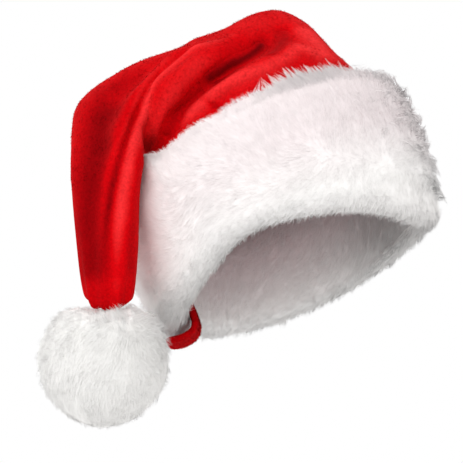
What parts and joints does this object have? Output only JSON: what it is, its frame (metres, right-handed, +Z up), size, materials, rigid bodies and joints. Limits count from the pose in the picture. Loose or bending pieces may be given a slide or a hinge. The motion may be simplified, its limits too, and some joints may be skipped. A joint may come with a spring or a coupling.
{
  "type": "santa hat",
  "caption": "Red plush Santa hat with a deep white fur cuff, its cone folded over and hanging to a white fur pompom, shaped as it is worn tilted back.",
  "frame": {"origin": "centre of the cuff's opening, in the plane of its rim, where the hat sits on a head", "axes": "+Z straight up for the wearer, -Y the way the wearer faces, +X the wearer's left; the rim is tilted back 26.5 degrees about X"},
  "size_m": [0.267, 0.2452, 0.3094],
  "materials": {
    "crown_plush": "short-pile red plush with a soft sheen",
    "cuff_backing": "matt white knitted backing",
    "cuff_fur": "long soft white faux fur",
    "pompom_fur": "long soft white faux fur",
    "fold_plush": "short-pile red plush"
  },
  "bodies": {
    "root": {"crown": "crown_plush", "cuff": "cuff_backing", "cuff_pile": "cuff_fur", "pompom": "pompom_fur", "plush_fold": "fold_plush"}
  },
  "joints": []
}
